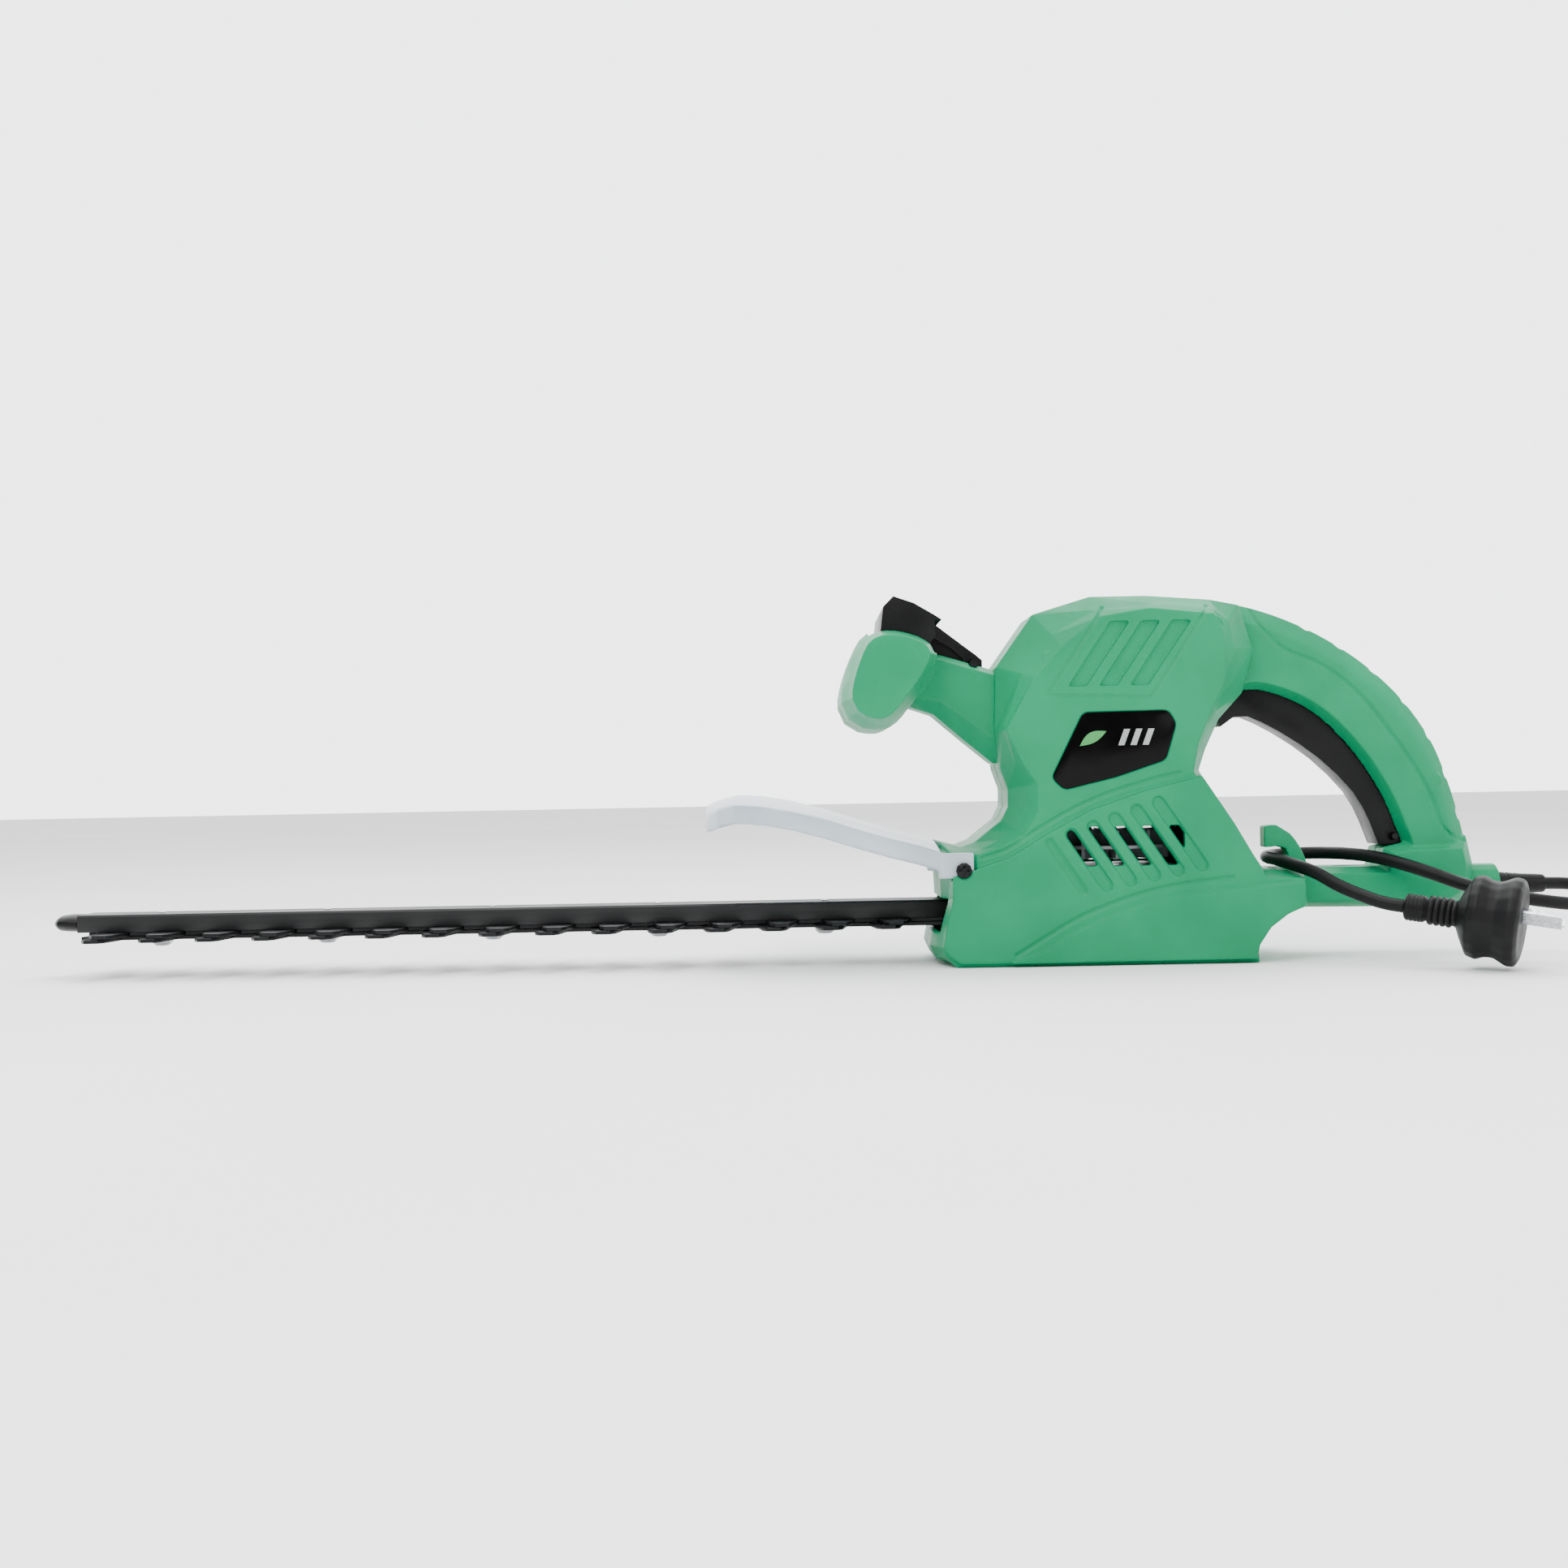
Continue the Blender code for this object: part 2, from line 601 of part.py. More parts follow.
def guard_half(x):
    """The shield widens from the housing and has a round front end."""
    if x > 20:
        share = (84 - x) / 64
        return GUARD_NARROW + (GUARD_WIDE - GUARD_NARROW) * math.sin(share * math.pi / 2)
    share = (20 - x) / 54.5
    return GUARD_WIDE * math.sqrt(max(0.0, 1 - share**3.2))


def add_guard():
    """A domed shield with a rim turned down all round its sides and front."""
    stations = [84, 72, 58, 42, 26, 10, -5, -18, -27, -32, -34]
    shape = bmesh.new()
    rows = []
    for x in stations:
        half, crown = guard_half(x), crown_at(x)
        edge = crown - GUARD_SAG
        row = [(-half, edge - GUARD_FLANGE)]
        row += [(half * t, crown - GUARD_SAG * t * t) for t in (-1, -0.6, 0, 0.6, 1)]
        row.append((half, edge - GUARD_FLANGE))
        rows.append([shape.verts.new((x * MM, y * MM, z * MM)) for y, z in row])
    for near, far in zip(rows, rows[1:]):
        for i in range(6):
            shape.faces.new((near[i], near[i + 1], far[i + 1], far[i]))
    shape.faces.new(rows[-1])
    bmesh.ops.recalc_face_normals(shape, faces=shape.faces)
    if shape.faces[2].normal.z < 0:
        bmesh.ops.reverse_faces(shape, faces=shape.faces)
    mesh = bpy.data.meshes.new("hand_guard")
    shape.to_mesh(mesh)
    shape.free()
    shield = put("hand_guard", mesh)
    wall = shield.modifiers.new("wall", "SOLIDIFY")
    wall.thickness = GUARD_WALL * MM
    wall.offset = -1
    wall.use_even_offset = True
    baked(shield)
    x, z = GUARD_SCREW
    for side in (-1, 1):
        low, high = outward(side, 38.9, 41.0)
        ear = box("ear", (82.0, low, 44), (100, high, 57))
        combine(ear, rod("ear_hole", 2.1, -60, 60, (x, 0, z), (90, 0, 0), 10))
        joined(shield, ear)
    part(shield, "clear_plastic")


# ---------------------------------------------------------------- front grip control


def add_front_lever():
    x, z = LEVER_PIVOT
    lever = flat("front_switch_lever", LEVER, -LEVER_HALF, LEVER_HALF, LEVER_PIVOT)
    for side in (-1, 1):
        low, high = outward(side, 7.5, 60)
        combine(lever, box("beside_stem", (82.2, low, 120), (120, high, 172)))
    hollow = [(58, 158), (78, 155), (80, 172), (71, 177), (63, 180), (60, 177)]
    combine(lever, flat("hollow", hollow, -LEVER_HALF + 2.5, LEVER_HALF - 2.5))
    combine(lever, rod("bore", 2.3, -60, 60, (x, 0, z), (90, 0, 0), 12))
    part(lever, "black_plastic")
    part(rod("front_lever_pin", 2.0, -15, 15, (x, 0, z), (90, 0, 0), 12), "bright_steel")
    part(spring("front_lever_spring", (91.5, 0, 145.6), (91.5, 0, 157.6), 3.5, 0.5, 5), "bright_steel")
    part(box("front_switch", (47, -6, 128), (61, 6, 142)), "black_plastic")


def spring(name, low, high, radius, wire, turns):
    """A compression spring between two points."""
    axis = Vector(high) - Vector(low)
    turn = Vector((0, 0, 1)).rotation_difference(axis.normalized())
    steps = turns * 8
    points = []
    for i in range(steps + 1):
        angle = 2 * math.pi * i / 8
        place = Vector((radius * math.cos(angle), radius * math.sin(angle), axis.length * i / steps))
        points.append(Vector(low) + turn @ place)
    return tube(name, points, wire, detail=1)


# ---------------------------------------------------------------- rear handle control


def add_rear_trigger():
    x, z = TRIGGER_PIVOT
    trigger = flat("rear_trigger", eased(TRIGGER), -TRIGGER_HALF, TRIGGER_HALF, TRIGGER_PIVOT)
    combine(trigger, rod("bore", 1.9, -60, 60, (x, 0, z), (90, 0, 0), 10))
    part(trigger, "black_plastic")
    part(rod("trigger_pin", 1.6, -12.5, 12.5, (x, 0, z), (90, 0, 0), 10), "bright_steel")
    part(spring("trigger_spring", (243, 0, 143.6), (238, 0, 161), 3.5, 0.5, 5), "bright_steel")
    part(box("rear_switch", (252, -8, 148.2), (272, 8, 161.5)), "black_plastic")


# ---------------------------------------------------------------- blades


def blade_outline(shift):
    """A toothed bar: blunt teeth along both edges, round at the tip."""
    flank = [(8.5, -SPINE_HALF), (6.0, -26.0), (3.5, -BLADE_HALF)]
    near = [(FIRST_TOOTH - 13 + shift, 1 - SPINE_HALF)]
    for i in range(TEETH):
        x = FIRST_TOOTH + PITCH * i + shift
        near += [(x - across, y) for across, y in flank]
        near += [(x + across, y) for across, y in reversed(flank)]
    near += [(96 + shift, -SPINE_HALF), (106 + shift, -TANG_HALF), (168 + shift, -TANG_HALF)]
    return near + [(x, -y) for x, y in reversed(near)]


def add_blade(name, levels, shift):
    low, high = levels
    origin = (GEAR_X, 0)
    x, y = DRIVE_WINDOW
    window = [(GEAR_X + shift + a * x, b * y) for a, b in ((-1, -1), (1, -1), (1, 1), (-1, 1))]
    slots = []
    for x in BLADE_SCREWS:
        slots.append(capsule((x + shift - SLOT_REACH, 0), (x + shift + SLOT_REACH, 0), SLOT_RADIUS))
    holes = [hole[::-1] for hole in (window, *slots)]
    blade = flat(name, blade_outline(shift), low, high, origin, side=False, holes=holes)
    return part(blade, "black_steel")


def add_blades():
    add_blade("blade_upper", UPPER_BLADE_Z, BLADE_SHIFT)
    add_blade("blade_lower", LOWER_BLADE_Z, -BLADE_SHIFT)
    low, high = BAR_Z
    inner = BAR_HALF - BAR_WALL
    right = [(inner, low), (BAR_HALF, low), (BAR_HALF, high - 1), (BAR_HALF - 1, high)]
    left = [(-x, z) for x, z in right[::-1]]
    rail = right + left + [(-inner, high - BAR_WALL), (inner, high - BAR_WALL)]
    bar = flat("blade_bar", rail, -BAR_LENGTH / 2, BAR_LENGTH / 2)
    bar.location = Vector((BAR_MIDDLE, 0, 0)) * MM
    bar.rotation_euler = (math.pi / 2, 0, math.pi / 2)
    bpy.context.view_layer.update()
    for x in BLADE_SCREWS:
        combine(bar, rod("hole", 2.2, 10, 50, (x, 0, 0), sides=10))
    part(bar, "black_alloy")
    nose = turned("blade_nose", nose_profile(), (FRONT_END, 0, low + 4.4), (0, -90, 0), 14)
    nose.scale = (0.74, 1.9, 1)
    part(nose, "black_plastic")
    thread = [(0, 32.6), (2.0, 32.4), (2.0, 20.8)]
    sleeve = [(2.7, 20.6), (2.7, 18.2)]
    head = [(5.5, 18.2), (5.5, 17), (3.4, 15.2), (0, 14.8)]
    for i, x in enumerate(BLADE_SCREWS):
        part(turned(f"blade_screw_{i + 1}", thread + sleeve + head, (x, 0, 0), sides=12), "bright_steel")


def nose_profile():
    return [(0, 0), (3.5, -0.8), (5.6, -3.5), (6.2, -8), (6.2, -14.2), (0, -14.2)]


# ---------------------------------------------------------------- drive


def spur(name, teeth, phase, low, high, x):
    """A spur gear about the upright axis at x."""
    root = MODULE * teeth / 2 - 1.5
    wheel = flat(name, toothed(teeth, root, root + TOOTH_HEIGHT, phase), low, high, side=False)
    wheel.location = Vector((x, 0, (low + high) / 2)) * MM
    return wheel


def add_drive():
    add_gear()
    add_gear_case()
    add_armature()
    part(ring("stator", STATOR_RADIUS, 17.4, 72, 124, (MOTOR_X, 0, 0), 24), "laminations")
    add_fan()
    for name, side in (("left", -1), ("right", 1)):
        low, high = outward(side, *BRUSH_Y)
        part(box(f"brush_{name}", (MOTOR_X - 4, low, 131), (MOTOR_X + 4, high, 138)), "copper")


def add_gear():
    """The big gear, with an eccentric lobe in each blade's window."""
    axis = (GEAR_X, 0, 0)
    wheel = spur("drive_gear", GEAR_TEETH, 0, *GEAR_Z, GEAR_X)
    lower = (LOWER_BLADE_Z[0] + 0.2, LOWER_BLADE_Z[1] + 0.4, GEAR_X - THROW)
    upper = (UPPER_BLADE_Z[0], UPPER_BLADE_Z[1] + 0.4, GEAR_X + THROW)
    for low, high, x in (lower, upper):
        joined(wheel, rod("lobe", LOBE_RADIUS, low, high, (x, 0, 0), sides=20))
    joined(wheel, rod("hub", 6.5, LOWER_BLADE_Z[1], 36, axis, sides=16))
    combine(wheel, rod("bore", SHAFT_RADIUS + BORE_PLAY, 0, 60, axis, sides=12))
    part(wheel, "bright_steel")
    part(rod("gear_shaft", SHAFT_RADIUS, BASE_LEDGE, 48.5, axis, sides=12), "bright_steel")


def add_gear_case():
    case = box("gear_case", (92, -30, 43), (MOTOR_X + 33, 30, 48))
    joined(case, box("bar_seat", (92, -12, 32.4), (108, 12, 45)))
    combine(case, rod("shaft_hole", SHAFT_RADIUS + BORE_PLAY, 0, 60, (GEAR_X, 0, 0), sides=12))
    combine(case, rod("bearing_seat", LOWER_BEARING[0] + BORE_PLAY, 40, 60, (MOTOR_X, 0, 0), sides=20))
    part(case, "cast_alloy")
    for name, (radius, low, high) in (("lower", LOWER_BEARING), ("upper", UPPER_BEARING)):
        bearing = ring(f"{name}_bearing", radius, SHAFT_RADIUS + BORE_PLAY, low, high, (MOTOR_X, 0, 0))
        part(bearing, "bright_steel")


def add_armature():
    """What turns with the motor's shaft, apart from the fan."""
    axis = (MOTOR_X, 0, 0)
    shaft = rod("armature_shaft", SHAFT_RADIUS, 43, 160, axis, sides=12)
    joined(shaft, spur("pinion", PINION_TEETH, math.pi / PINION_TEETH, 33.5, 43.0, MOTOR_X))
    part(shaft, "bright_steel")
    bore = SHAFT_RADIUS + BORE_PLAY
    part(ring("armature_core", 16.5, bore, 78, 118, axis, 20), "laminations")
    part(ring("commutator", 10, bore, 128, 141, axis, 20), "copper")


def ring(name, outer, inner, low, high, location, sides=16):
    profile = [(inner, high), (outer, high), (outer, low), (inner, low)]
    return turned(name, profile, location, sides=sides)


def add_fan():
    """A disc with upright blades on both of its sides."""
    low, high = FAN_Z
    points = []
    for i in range(FAN_BLADES):
        for share, radius in ((-0.44, 9), (-0.07, 9), (-0.05, 33), (0.05, 33), (0.07, 9)):
            angle = (i + share) * 2 * math.pi / FAN_BLADES
            points.append((radius * math.cos(angle), radius * math.sin(angle)))
    fan = flat("fan", points, low, high, side=False)
    fan.location = Vector((MOTOR_X, 0, (low + high) / 2)) * MM
    joined(fan, rod("disc", 34, 57, 58.5, (MOTOR_X, 0, 0), sides=24))
    combine(fan, rod("bore", SHAFT_RADIUS + BORE_PLAY, 40, 80, (MOTOR_X, 0, 0), sides=12))
    part(fan, "grey_plastic")


# ---------------------------------------------------------------- mains tail


def add_mains():
    add_boot()
    part(tube("mains_cord", CORD_ROUTE, CORD_RADIUS), "rubber")
    part(box("cord_clamp", (324, -9, 37.5), (334, 9, 41.5)), "black_plastic")
    part(tube("inner_lead", [(318, 0, CORD_Z), (354.6, 0, CORD_Z)], CORD_RADIUS), "rubber")
    part(rod("capacitor", 6, 60, 80, (213, 0, 0), sides=12), "black_plastic")
    add_plug()


def add_boot():
    """The tapered strain relief, whose inner end sits in the housing's bore."""
    tip, collar, seat = CORD_ROUTE[0][0] - GAP, REAR_END + GAP, 355
    taper = [(0, tip), (4.8, tip), (5.4, 385), (6.6, 372), (6.6, collar)]
    stem = [(3.7, collar), (3.7, seat), (0, seat)]
    profile = [(radius, along - collar) for radius, along in taper + stem]
    part(turned("cord_boot", profile, (collar, 0, CORD_Z), (0, 90, 0), 14), "rubber")


def add_plug():
    """A moulded plug with a waisted head, a slim neck and two flat pins at an angle."""
    back, face = Vector(PLUG_BACK), Vector(PLUG_FACE)
    long = (face - back).length
    head = [(0, long), (17.5, long), (20.6, long - 1.5), (21.0, long - 5), (18.0, long - 11)]
    waist = [(18.2, long - 15), (20.0, long - 19), (18.8, long - 23), (11, long - 27), (6.2, long - 29)]
    neck = [(5.2, 10), (6.6, 9), (6.6, 1), (5.4, 0), (0, 0)]
    body = turned("plug_body", head + waist + neck, sides=20)
    body.rotation_mode = "QUATERNION"
    body.rotation_quaternion = (face - back).to_track_quat("Z", "Y")
    body.location = back * MM
    part(body, "rubber")
    wide, thick, reach = PIN_SIZE
    for i, side in enumerate((-1, 1)):
        pin = box(f"plug_pin_{i + 1}", (-wide / 2, -thick / 2, 0), (wide / 2, thick / 2, reach))
        pin.parent = body
        pin.location = Vector((6.9 * side, 3.5, long + GAP + reach / 2)) * MM
        pin.rotation_euler = (0, 0, math.radians(60 * side))
        part(pin, "bright_steel")


clear_scene()
MODEL = new_collection("hedge_trimmer")
CUTTERS = new_collection("cutters")
housing()
add_housing_screws()
add_badges()
add_base()
add_guard()
add_front_lever()
add_rear_trigger()
add_blades()
add_drive()
add_mains()
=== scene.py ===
"""The looks of an electric hedge trimmer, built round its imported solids.

X runs from the blade tip to the rear end, Y across the tool, Z up from the flat base.
Sizes and places are in millimetres, and MM turns them to metres where they are used.
Only the lamps and the floor are given in metres.
"""

import json
import math

import bpy
from mathutils import Matrix, Vector

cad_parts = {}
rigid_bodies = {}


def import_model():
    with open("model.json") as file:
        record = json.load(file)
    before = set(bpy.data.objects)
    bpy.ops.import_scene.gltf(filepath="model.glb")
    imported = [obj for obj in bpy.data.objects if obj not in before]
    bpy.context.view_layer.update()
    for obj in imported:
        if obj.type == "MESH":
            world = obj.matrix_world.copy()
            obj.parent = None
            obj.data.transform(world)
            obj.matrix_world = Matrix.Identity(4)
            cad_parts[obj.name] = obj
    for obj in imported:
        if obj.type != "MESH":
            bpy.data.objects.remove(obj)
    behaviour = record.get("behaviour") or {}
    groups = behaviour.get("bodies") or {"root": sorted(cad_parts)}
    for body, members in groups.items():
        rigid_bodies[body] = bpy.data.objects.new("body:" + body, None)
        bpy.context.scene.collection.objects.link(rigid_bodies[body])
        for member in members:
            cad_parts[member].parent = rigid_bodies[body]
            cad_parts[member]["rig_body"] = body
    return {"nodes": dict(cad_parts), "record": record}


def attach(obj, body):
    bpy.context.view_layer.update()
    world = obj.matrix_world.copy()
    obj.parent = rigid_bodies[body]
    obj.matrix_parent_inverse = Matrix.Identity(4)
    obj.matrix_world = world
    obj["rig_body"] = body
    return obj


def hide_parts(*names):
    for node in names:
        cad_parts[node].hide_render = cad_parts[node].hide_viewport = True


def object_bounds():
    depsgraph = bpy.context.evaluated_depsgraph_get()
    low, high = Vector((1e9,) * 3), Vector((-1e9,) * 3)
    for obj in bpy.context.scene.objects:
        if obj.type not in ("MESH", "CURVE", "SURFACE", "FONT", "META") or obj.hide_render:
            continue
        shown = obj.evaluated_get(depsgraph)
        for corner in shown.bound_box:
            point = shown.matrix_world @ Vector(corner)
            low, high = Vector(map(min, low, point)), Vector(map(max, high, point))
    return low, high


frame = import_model()
CAD_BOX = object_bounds()
NODES = frame["nodes"]
SLOTS = {row["node"]: row["material_slot"] for row in frame["record"]["subparts"]}

MM = 0.001
METRE = 1000.0
SIDES = (("left", -1), ("right", 1))

# ---- view
VIEW_CENTRE = (6.3, 0.0, 92.5)
VIEW_DISTANCE = 930.0
VIEW_TURN = math.radians(0.3)
VIEW_ROLL = 0.019  # radians
LENS = 41.3

# ---- light and floor
FRONT_LIGHT = 0.45  # strength of the studio's glow from the camera's side
BACK_LIGHT = 4.2  # and from behind the tool
GLOW_SPAN = {"From Min": -0.2, "From Max": 0.7}  # directions along Y between which it grows
LAMP_LIGHT = 2.0
LAMPS = (  # name, place, width and power
    ("key", (-0.55, -1.1, 1.35), 1.1, 16.0),
    ("fill", (1.1, -0.95, 0.8), 1.3, 8.0),
    ("top", (0.1, 0.25, 1.6), 1.4, 14.0),
)
LAMP_AIM = (0.05, 0.0, 0.09)
FLOOR_WIDTH = 14
FLOOR_GAP = 0.2  # clear of the base, so that the two don't flicker

# ---- materials
PLASTIC_IOR = 1.53
NOISE_SPAN = {"From Min": 0.35, "From Max": 0.65}  # where most of a noise's values lie
COLOUR_A, COLOUR_B, COLOUR_OUT = 6, 7, 2  # a Mix node's sockets that hold colours
PLASTIC_PATCH = 38  # patches of slightly different tone
PLASTIC_CLOUD = 14  # patches of slightly different gloss
METAL_MARK = 1.2
METAL_CLOUD = 2.4
SHEET_PATCH = 30
FLOOR_PATCH = 400

# ---- mains lead
CORD_RADIUS = 3.2
CORD_ROUTE = [
    (397.3, 0, 34), (409, -1, 33.6), (421, -6, 32), (430, -15, 30), (433, -27, 28),
    (430, -39, 26.5), (420, -49, 26), (406, -55, 26), (390, -57.5, 27), (373, -57, 29),
    (356, -54, 32), (340, -47.5, 36.5), (326, -38.5, 42.3), (314, -28, 47), (304, -16.5, 50),
    (294.5, -4.5, 51.3), (285.3, 5.6, 51.5), (276, 11.3, 51.3), (265, 11, 50.9), (256.6, 4.2, 50.4),
    (253.6, -6, 50.2), (255.2, -17, 49.6), (260, -29, 47.5), (267.4, -42, 44), (275.5, -53.5, 38),
    (284.6, -62.2, 33.3), (292.7, -68.4, 30.2), (300.4, -72.8, 28.8),
]

# ---- moulded detail of the housing
FINE = 0.6  # size of the skin's smallest facet
SKIN_KEPT = 0.18  # share of its triangles that stay
CUT_REACH = 60.0  # how far out a cutter runs
SIDE_START = 90  # where a ray towards one side starts
VENT_COUNT = 6
VENT_RADIUS = 2.3
VENT_SIDE = 42.5  # the wall's outer face
VENT_MARGIN = 0.7  # how much wider the recess round a vent is
VENT_SINK = 1.6  # how deep that recess is
VENT_TOP, VENT_TOP_STEP = (137, 61), (10.8, 3.8)
VENT_FOOT, VENT_FOOT_STEP = (153, 37), (11.8, 2.3)
GROOVE = 1.0  # radius of a seam line
CREASE_MORE = 0.35  # a crease is cut with a thicker rod,
CREASE_LIFT = 0.3  # which lies further out
BAND_SEAMS = (
    ((137.6, 134), (167, 178)),
    ((189, 132), (219, 178)),
    ((137.6, 134), (189, 132)),
)
WAIST_LINE = ((103, 53.8), (116, 58), (133, 68.5), (157, 81), (184, 90), (203, 94.5))
SKIRT_LINE = (
    (119, 5), (132.5, 13.2), (149.5, 23), (165.5, 29.7), (183.7, 35.6), (204, 39.6), (228, 42.2),
)
PAD_LINE = (
    (245, 178), (251, 166), (259, 158), (280, 148), (297, 135), (313, 115), (326, 96),
    (335, 79), (341, 63), (352, 57),
)
PAD_NOTCHES = ((275, 167), (291, 157), (307, 144), (322, 129), (334, 112), (343, 93), (350, 73))
HANDLE_MIDDLE = (252, 92)
NOTCH_START = 160  # where a ray towards the handle's back starts
NOTCH_ASIDE = 1.5  # its distance from the seam between the halves
NOTCH_REACH = 30
NOTCH_RADIUS = 6.0
NOTCH_DEPTH = 0.9

# ---- guard
GUARD_FACET = 0.7
GUARD_KEPT = 0.5
GUARD_SCREW = (94.5, 48.0)  # X and Z
RECESS_ARM = 2.4
RECESS_HALF = 0.55  # half the width of an arm
RECESS_SPAN = (43.1, 46)

# ---- blades
BLADE_EDGE = 0.35

# ---- front lever
LEVER_EDGE = 1.4
CHEEK = (
    (78, 177), (84, 174), (100, 161.5), (106, 157), (107.5, 152), (104, 149.5), (84, 153), (79.5, 161),
)
CHEEK_SIDE = (4.5, 5.6)
CHEEK_RIM = 0.3

DARK_PINS = ("front_lever_pin", "trigger_pin")

# ---- small pieces and the width of their soft edges
BEVELLED = {
    "rear_trigger": 1.6,
    "base_plate": 0.5,
    "blade_bar": 0.4,
    "blade_nose": 0.6,
    "badge_left": 0.4,
    "badge_right": 0.4,
}

# ---- strain relief and plug
RUBBER_FACET = 0.5
RING_OUT = 0.35  # a cut ring's centre lies this far outside the piece
RING_THICK = 0.75
BOOT_RINGS = (377, 381, 385, 389, 393)
BOOT_REACH = 5.7
PLUG_BACK = (300.8, -73.0, 28.7)
PLUG_FACE = (346.5, -98.5, 21.6)
PLUG_RINGS = (2.6, 4.4, 6.2, 8.0)  # steps from its back
PLUG_RIBS = (12.2, 15.0, 17.8, 20.6)
PLUG_REACH = 6.6
RIB_RADIUS = 5.6
RIB_THICK = 1.5

# ---- badge print
PRINT_MIDDLE = (171.0, 112.5)
PRINT_THICKNESS = 0.25
PRINT_SINK = 0.1
LEAF_LENGTH = 15.0
LEAF_WIDTH = 6.5
LEAF_BELLY = 0.6  # the lower edge's curve beside the upper one's
LEAF_TURN = math.radians(28)
LEAF_START = (18, 4)  # the stalk's distance from the middle, to the left and down
LEAF_STEPS = 20
BAR_COUNT = 3
BAR_START = 1
BAR_PITCH = 6
BAR_WIDTH = 3
BAR_SLANT = 3
BAR_FOOT = 108.5
BAR_TOP = 116.5


# ---------------------------------------------------------------- selecting and shaping


def only(thing):
    """Leaves one object selected and active."""
    bpy.ops.object.select_all(action="DESELECT")
    thing.select_set(True)
    bpy.context.view_layer.objects.active = thing


def settle(thing):
    """Puts an object's place into its mesh."""
    only(thing)
    bpy.ops.object.transform_apply(location=True, rotation=True, scale=True)
    return thing


def modify(thing, kind, **settings):
    """Adds one modifier and applies it."""
    only(thing)
    step = thing.modifiers.new(kind.lower(), kind)
    for name, value in settings.items():
        setattr(step, name, value)
    bpy.ops.object.modifier_apply(modifier=step.name)


def combine(thing, tool, operation="DIFFERENCE"):
    """Cuts one object with another or adds it, and uses the other up."""
    modify(thing, "BOOLEAN", operation=operation, object=tool)
    bpy.data.objects.remove(tool)


def smooth(thing, angle):
    """Shades as one surface every fold that is gentler than that many degrees."""
    only(thing)
    bpy.ops.object.shade_smooth_by_angle(angle=math.radians(angle))


def skin(node, name):
    """A welded copy of a CAD node, which stands for it."""
    source = NODES[node]
    made = bpy.data.objects.new(name, source.data.copy())
    bpy.context.scene.collection.objects.link(made)
    only(made)
    bpy.ops.object.mode_set(mode="EDIT")
    bpy.ops.mesh.select_all(action="SELECT")
    bpy.ops.mesh.remove_doubles(threshold=0.01 * MM)
    bpy.ops.object.mode_set(mode="OBJECT")
    return made


def mount(made, node, material):
    """Finishes a piece that stands for a CAD node: its material, the node hidden, and the node's body."""
    made.data.materials.clear()
    made.data.materials.append(material)
    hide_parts(node)
    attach(made, NODES[node]["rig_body"])
    return made


# ---------------------------------------------------------------- materials


def linear(shade):
    """A hex colour in the linear values that shaders take."""
    values = [int(shade[i : i + 2], 16) / 255 for i in (1, 3, 5)]
    rgb = [v / 12.92 if v <= 0.04045 else ((v + 0.055) / 1.055) ** 2.4 for v in values]
    return (*rgb, 1.0)


def add(tree, kind, inputs=None, **settings):
    """Adds a node with its settings; an input is a value or another node's socket."""
    made = tree.nodes.new("ShaderNode" + kind)
    for name, value in settings.items():
        setattr(made, name, value)
    for name, value in (inputs or {}).items():
        if isinstance(value, bpy.types.NodeSocket):
            tree.links.new(value, made.inputs[name])
        else:
            made.inputs[name].default_value = value
    return made


def blank(name, roughness, metallic=0.0, ior=1.5):
    """A Principled material, with its tree, its shader and the piece's own coordinates."""
    made = bpy.data.materials.new(name)
    made.use_nodes = True
    tree = made.node_tree
    shader = tree.nodes["Principled BSDF"]
    shader.inputs["Roughness"].default_value = roughness
    shader.inputs["Metallic"].default_value = metallic
    shader.inputs["IOR"].default_value = ior
    place = add(tree, "TexCoord").outputs["Object"]
    return made, tree, shader, place


def moulded(name, dark, light, roughness, size, height, shine=0.5):
    """A moulded thermoplastic, with a spark-eroded grain of that size and height.

    The grain is drawn coarser than a real one, so that it shows. Tone and gloss vary slightly.
    """
    made, tree, shader, place = blank(name, roughness, ior=PLASTIC_IOR)
    shader.inputs["Specular IOR Level"].default_value = shine

    patches = add(tree, "TexNoise", {"Vector": place, "Scale": METRE / PLASTIC_PATCH, "Detail": 3.0})
    share = add(tree, "MapRange", {"Value": patches.outputs["Fac"], **NOISE_SPAN})
    tones = {"Factor": share.outputs["Result"], COLOUR_A: linear(dark), COLOUR_B: linear(light)}
    colour = add(tree, "Mix", tones, data_type="RGBA")
    tree.links.new(colour.outputs[COLOUR_OUT], shader.inputs["Base Color"])

    clouds = add(tree, "TexNoise", {"Vector": place, "Scale": METRE / PLASTIC_CLOUD, "Detail": 3.0})
    limits = {"To Min": roughness - 0.05, "To Max": roughness + 0.06}
    gloss = add(tree, "MapRange", {"Value": clouds.outputs["Fac"], **NOISE_SPAN, **limits})
    tree.links.new(gloss.outputs["Result"], shader.inputs["Roughness"])

    grain = add(tree, "TexNoise", {"Vector": place, "Scale": METRE / size, "Detail": 2.0})
    relief = {"Height": grain.outputs["Fac"], "Distance": height * MM, "Strength": 0.6}
    bump = add(tree, "Bump", relief)
    tree.links.new(bump.outputs["Normal"], shader.inputs["Normal"])
    return made


